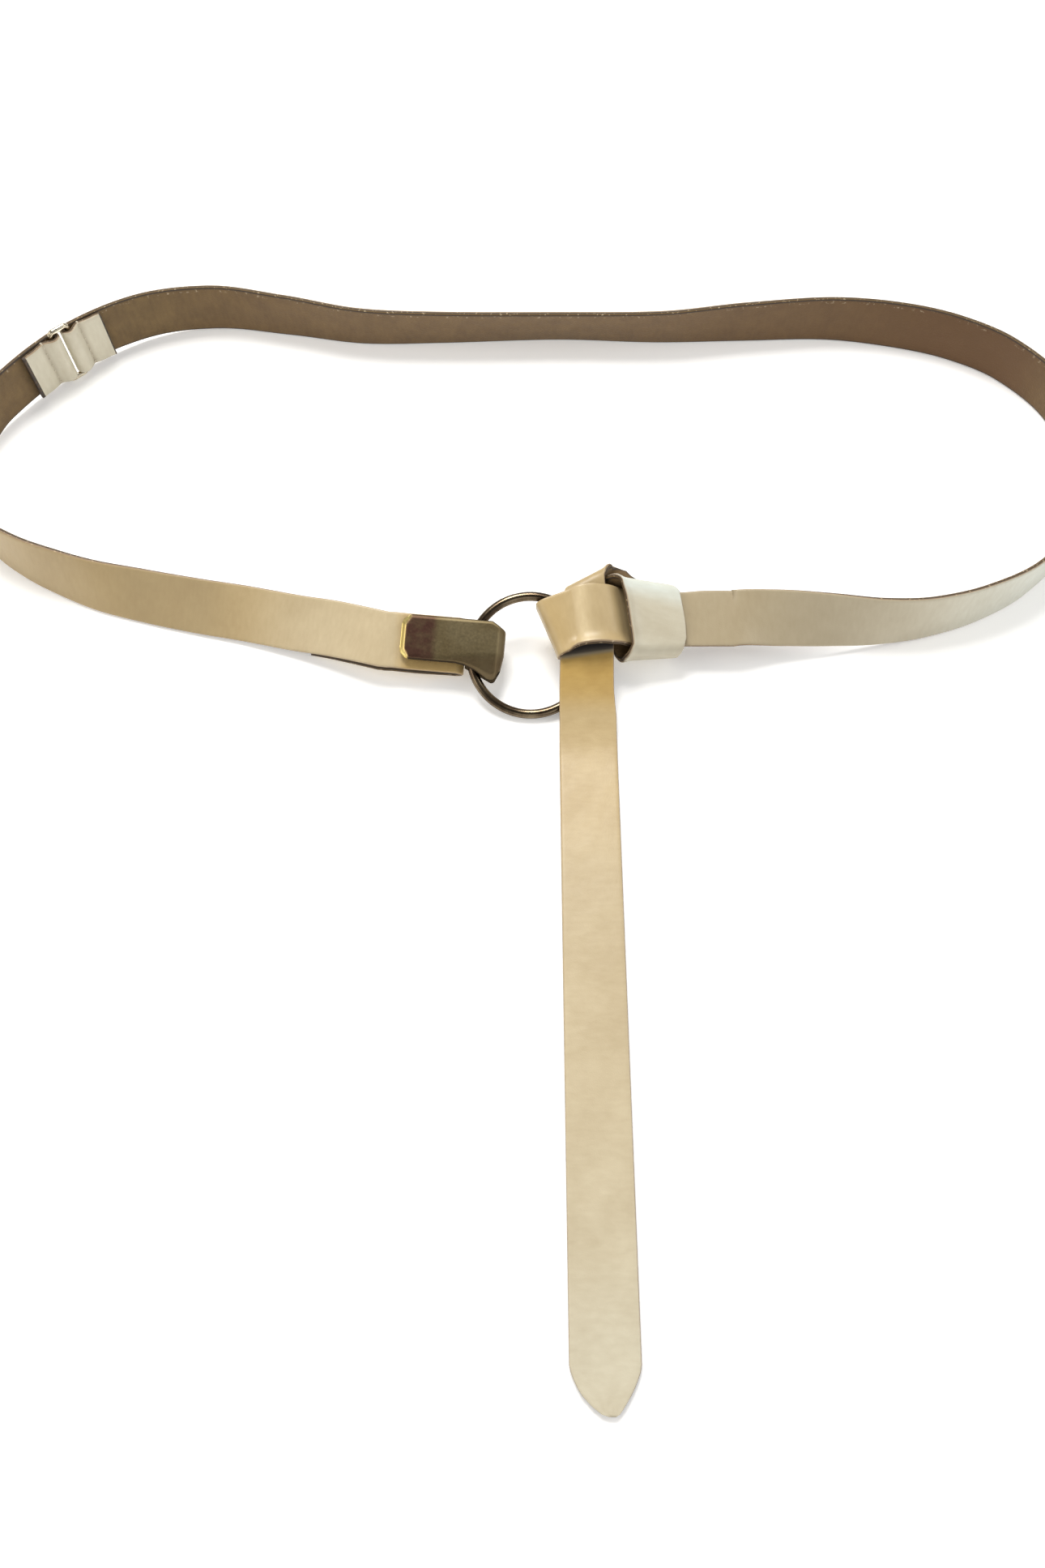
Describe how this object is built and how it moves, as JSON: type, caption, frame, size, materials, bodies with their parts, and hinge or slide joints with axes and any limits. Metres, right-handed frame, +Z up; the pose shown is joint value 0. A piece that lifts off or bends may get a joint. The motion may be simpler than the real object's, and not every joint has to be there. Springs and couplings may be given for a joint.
{
  "type": "leather belt with ring and slip knot",
  "caption": "Narrow leather belt closed in an oval loop: a flat hook plate holds a wire ring, the other strap is knotted through the ring and ends in a long pointed tail.",
  "frame": {"origin": "bottom centre of the belt's box, on the surface that it lies on", "axes": "+Z up, +X along the long side of the loop towards the knot's side, -Y towards the tail's tip"},
  "size_m": [0.4318, 0.404, 0.0253],
  "materials": {
    "long_strap": "smooth, softly glossy cream",
    "short_strap": "smooth, softly glossy champagne",
    "link": "polished pale gold",
    "ring": "polished dark antique brass",
    "hook_plate": "polished dark antique brass"
  },
  "bodies": {
    "root": {"long_strap": "long_strap", "short_strap": "short_strap", "link": "link", "ring": "ring", "hook_plate": "hook_plate"}
  },
  "joints": []
}
